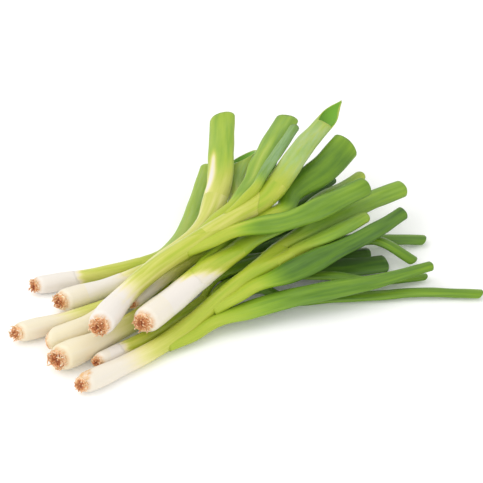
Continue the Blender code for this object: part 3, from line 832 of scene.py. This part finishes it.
SKIN_COLOURS = [            # greenness, colour
    (0.00, "E6DFD6"), (0.10, "E8DDBB"), (0.20, "E2DB98"), (0.32, "CDCD68"),
    (0.44, "B5BF40"), (0.55, "9DB62C"), (0.66, "84A71C"), (0.77, "6C9210"),
    (0.88, "547C0C"), (1.00, "375C0E"),
]
BLOOM_COLOUR = "A9C6B4"
INNER_COLOUR = "6AA318"
DRY_COLOUR = "DDB07A"
ROOT_COLOURS = [            # dryness, colour
    (0.0, "7A3A1C"), (0.2, "A45A30"), (0.42, "C98652"),
    (0.65, "E6B485"), (0.85, "F2D3AE"), (1.0, "F8E8D2"),
]
FLOOR_COLOUR = "FCFCFB"


def skin_material(name, roughness, coat):
    """Plant skin: white to green by its painted greenness, with veins, streaks and bloom; the
    greenness also carries the leaves' painted highlight streaks and the painted shade of the
    darkest leaves.
    """
    make = Nodes(name)
    fine = make.noise(make.stretched((9, 9, 0.5)), 1.0, 4)
    broad = make.noise(make.stretched((2.2, 2.2, 0.6)), 1.0, 3)
    wave = make.math("MULTIPLY", make.math("SUBTRACT", fine, 0.5), 0.10)
    drift = make.math("MULTIPLY", make.math("SUBTRACT", broad, 0.5), 0.12)
    green = make.attribute("green")
    strength = make.spread(green, 0.0, 0.3, 0.25, 1.0)
    shift = make.math("MULTIPLY", make.math("ADD", wave, drift), strength)
    colour = make.ramp(make.math("ADD", green, shift, clamp=True), SKIN_COLOURS)
    patches = make.noise(make.stretched((3.0, 3.0, 0.9)), 1.0, 5, 0.6)
    patches = make.spread(patches, 0.3, 0.7, 0.35, 1.0)
    bloom = make.math("MULTIPLY", make.attribute("bloom"), patches, clamp=True)
    colour = make.mix(bloom, colour, BLOOM_COLOUR)
    inner = make.attribute("inner")
    colour = make.mix(inner, colour, INNER_COLOUR)
    flecks = make.noise(make.stretched((3.5, 3.5, 3.0)), 1.0, 4)
    dry = make.math("MULTIPLY", make.attribute("dry"), make.spread(flecks, 0.35, 0.6), clamp=True)
    colour = make.mix(dry, colour, DRY_COLOUR)
    make.link(colour, make.shader.inputs["Base Color"])
    rough = make.spread(patches, 0.35, 1.0, roughness - 0.06, roughness + 0.08)
    make.link(make.math("ADD", rough, make.math("MULTIPLY", bloom, 0.2)),
              make.shader.inputs["Roughness"])
    make.bump(make.noise(make.stretched((14, 14, 0.35)), 1.0, 3), 0.35, 0.25)
    make.set(Coat_Weight=coat, Coat_Roughness=0.22, Specular_IOR_Level=0.35)
    return make.material


def root_material():
    """Dry root plate and roots, from deep brown to light peach."""
    make = Nodes("root_tuft")
    mottle = make.noise(make.stretched((4, 4, 5)), 1.0, 5, 0.6)
    tone = make.math("ADD", make.attribute("dry"),
                     make.math("MULTIPLY", make.math("SUBTRACT", mottle, 0.5), 0.5), clamp=True)
    make.link(make.ramp(tone, ROOT_COLOURS), make.shader.inputs["Base Color"])
    make.bump(make.noise(make.stretched((9, 9, 8)), 1.0, 4), 0.5, 0.3)
    make.set(Roughness=0.72, Subsurface_Weight=0.15, Subsurface_Scale=0.0015)
    return make.material


# ------------------------------------------------------------------ the ten onions
# Angles are in degrees around a plant, and all greenness is from 0, white, to 1, dark green.
#
# white: where the white begins to turn, and over what length; neck: greenness at the fork;
# cream: greenness of the white itself; white_side: the side where the white ends later, and
# how much later; patch: the side of a dry patch on the base, and its reach; streaks, roots and
# root_length: shares of the usual.  A sheath is (start, edge, slant, facing, thickness, shade).

ONIONS = {
    1: dict(white=(27, 7), neck=0.44, cream=0.0, sheaths=[(8, 27, 5, 90, 0.25, -0.10)]),
    2: dict(white=(34, 26), neck=0.42, cream=0.05, sheaths=[(14, 44, 14, 60, 0.22, -0.05)]),
    3: dict(white=(22, 30), neck=0.40, cream=0.07),
    4: dict(white=(30, 34), neck=0.42, cream=0.09, roots=1.25, root_length=1.25),
    5: dict(white=(17, 7), neck=0.52, sheaths=[(6, 17, 5, 100, 0.25, -0.10)]),
    6: dict(white=(24, 42), neck=0.50, roots=0.5, root_length=0.7, patch=(60, 8)),
    7: dict(white=(14, 30), neck=0.40, roots=0.8),
    8: dict(white=(28, 60), neck=0.34, cream=0.09, streaks=1.6, roots=0.2, root_length=0.4),
    9: dict(white=(44, 15), white_side=(215, 14), neck=0.57,
            sheaths=[(16, 46, 22, 120, 0.25, -0.04)]),
    10: dict(white=(18, 30), neck=0.48, cream=0.0, streaks=2.0,
             sheaths=[(20, 84, 34, 20, 0.3, -0.04),
                      (96, 138, 16, 200, 0.3, -0.10)]),
}

# Each leaf is (its onion, its number).  green: its own greenness, and on the leaves deep under
# the pile also painted shade; first: greenness at its foot, where that isn't the neck's;
# greening: over what length it changes; tip: what its end adds; bloom: waxy bloom; taper and
# widen: shares of the CAD width, at the end and all along; the streak is a painted highlight, a
# paler band along one side, given as (facing, begins, ends, how much paler); a crease is (facing,
# begins, ends, depth, half width).
LEAVES = {
    (1, 1): dict(green=0.56, bloom=0.30),
    # Painted shade: leaves 2_1, 2_2, 3_1 and 4_1 lie deep under the pile and take the darkest
    # greens for its shade; 4_1 is widened to spread that dark into the gaps between the leaves.
    (2, 1): dict(green=0.92, bloom=0.05, first=0.8),
    (2, 2): dict(green=0.94, bloom=0.08, first=0.8),
    (3, 1): dict(green=0.96, bloom=0.05, first=0.9),
    (4, 1): dict(green=0.96, bloom=0.05, first=0.9, widen=1.2),
    (4, 2): dict(green=0.84, bloom=0.10),
    (5, 1): dict(green=0.82, bloom=0.05, taper=0.8),
    (5, 2): dict(green=0.82, bloom=0.03),
    # painted shade: the foot of this leaf starts darkest green where it shows in a shaded gap
    (6, 1): dict(green=0.80, first=0.92, bloom=0.05, tip=-0.06),
    (6, 2): dict(green=0.83, bloom=0.06, greening=70, tip=-0.05, taper=0.62),
    (6, 3): dict(green=0.90, bloom=0.06, greening=30, taper=0.72),
    (6, 4): dict(green=0.74, bloom=0.10, tip=-0.12),
    (6, 5): dict(green=0.72, bloom=0.12, greening=36, tip=-0.02),
    (7, 1): dict(green=0.95, bloom=0.08),
    (8, 1): dict(green=0.56, bloom=0.32),
    (8, 2): dict(green=0.60, bloom=0.08, greening=50, highlight_streak=(40, 0.08, 0.66, 0.5)),
    (9, 1): dict(green=0.66, bloom=0.15, tip=-0.14),
    (9, 2): dict(green=0.96, bloom=0.10),
    (10, 1): dict(green=0.77, bloom=0.08, greening=24, highlight_streak=(80, 0.15, 0.7, 0.14)),
    (10, 2): dict(green=0.68, bloom=0.15, greening=20, creases=[(62, 0.35, 0.85, 1.1, 0.22)],
                  highlight_streak=(75, 0.35, 0.85, 0.2)),
    (10, 3): dict(green=0.76, bloom=0.50, greening=16),
    (10, 4): dict(green=0.84, bloom=0.03, greening=20, tip=-0.10),
    (10, 5): dict(green=0.55, bloom=0.52, torn=True),
}

SLOTS = {row["node"]: row["material_slot"] for row in frame["record"]["subparts"]}
stem_skin = skin_material("stem_skin", 0.32, 0.20)
leaf_skin = skin_material("leaf_skin", 0.42, 0.05)
roots_skin = root_material()

for number, onion in ONIONS.items():
    name = f"onion_{number:02d}"
    seed = 100 * number
    stem = line_of(name + "_stem", CAD_STEM_SIDES)
    end, ahead, side, up, _ = [value[0] for value in stem.read([stem.length])]
    feet, leaves = [], []
    for (owner, place), look in LEAVES.items():
        if owner != number:
            continue
        line = evened(line_of(f"{name}_leaf_{place}", CAD_LEAF_SIDES))
        line = reshaped(line, look.get("taper", 1.0), look.get("widen", 1.0))
        offset = line.centres[0] - end
        is_end = offset @ ahead > 0
        if is_end:
            feet.append((np.array([offset @ side, offset @ up]), line.sections[0]))
        leaves.append((place, look, line, is_end))
    make_stem(onion, stem, feet, seed).make(
        f"stem_{number:02d}", stem_skin, SLOTS[name + "_stem"], [name + "_stem"])
    for place, look, line, is_end in leaves:
        line, lead = with_lead(line, stem, is_end)
        line.is_torn = look.get("torn", False)
        node = f"{name}_leaf_{place}"
        make_leaf(look, line, lead, onion["neck"], seed + 10 * place).make(
            f"leaf_{number:02d}_{place}", leaf_skin, SLOTS[node], [node])
    make_roots(stem, onion, seed + 5).make(
        f"roots_{number:02d}", roots_skin, SLOTS[name + "_roots"], [name + "_roots"])


# ------------------------------------------------------------------ floor, light, camera

def add_floor():
    """A plain pale floor under the bunch."""
    mesh = bpy.data.meshes.new("floor")
    low, far = cad_box[0].z, FLOOR_REACH
    mesh.from_pydata([(-far, -far, low), (far, -far, low), (far, far, low), (-far, far, low)],
                     [], [(0, 1, 2, 3)])
    make = Nodes("pale_floor")
    make.set(Base_Color=srgb(FLOOR_COLOUR), Roughness=0.9, Emission_Strength=FLOOR_GLOW,
             Emission_Color=srgb("FFFFFF"))
    mesh.materials.append(make.material)
    floor = bpy.data.objects.new("floor", mesh)
    bpy.context.scene.collection.objects.link(floor)


def add_area(name, place, size, power, colour):
    """A soft round lamp, aimed at the middle of the floor."""
    light = bpy.data.lights.new(name, "AREA")
    light.shape = "DISK"
    light.size = size
    light.energy = power
    light.color = colour
    lamp = bpy.data.objects.new(name, light)
    lamp.location = place
    lamp.rotation_mode = "QUATERNION"
    lamp.rotation_quaternion = (-Vector(place)).to_track_quat("-Z", "Y")
    bpy.context.scene.collection.objects.link(lamp)


def add_camera():
    """The scene's camera, at the photograph's angle."""
    azimuth, elevation = math.radians(CAMERA_AZIMUTH), math.radians(CAMERA_ELEVATION)
    back = Vector((math.sin(azimuth) * math.cos(elevation),
                      -math.cos(azimuth) * math.cos(elevation), math.sin(elevation)))
    camera = bpy.data.cameras.new("camera")
    camera.lens = CAMERA_LENS
    camera.sensor_width = CAMERA_SENSOR
    camera.clip_start = 0.05
    camera.clip_end = 20.0
    eye = bpy.data.objects.new("camera", camera)
    eye.location = Vector(CAMERA_TARGET) * MM + back * (CAMERA_DISTANCE * MM)
    eye.rotation_mode = "QUATERNION"
    eye.rotation_quaternion = (-back).to_track_quat("-Z", "Y")
    bpy.context.scene.collection.objects.link(eye)
    bpy.context.scene.camera = eye


world = bpy.data.worlds.new("studio")
world.use_nodes = True
world.node_tree.nodes["Background"].inputs["Color"].default_value = (1.0, 1.0, 1.0, 1.0)
world.node_tree.nodes["Background"].inputs["Strength"].default_value = WORLD_STRENGTH
bpy.context.scene.world = world
bpy.context.scene.view_settings.view_transform = "Standard"
add_floor()
add_area("key", KEY_PLACE, KEY_SIZE, KEY_POWER, KEY_COLOUR)
add_area("fill", FILL_PLACE, FILL_SIZE, FILL_POWER, FILL_COLOUR)
add_camera()
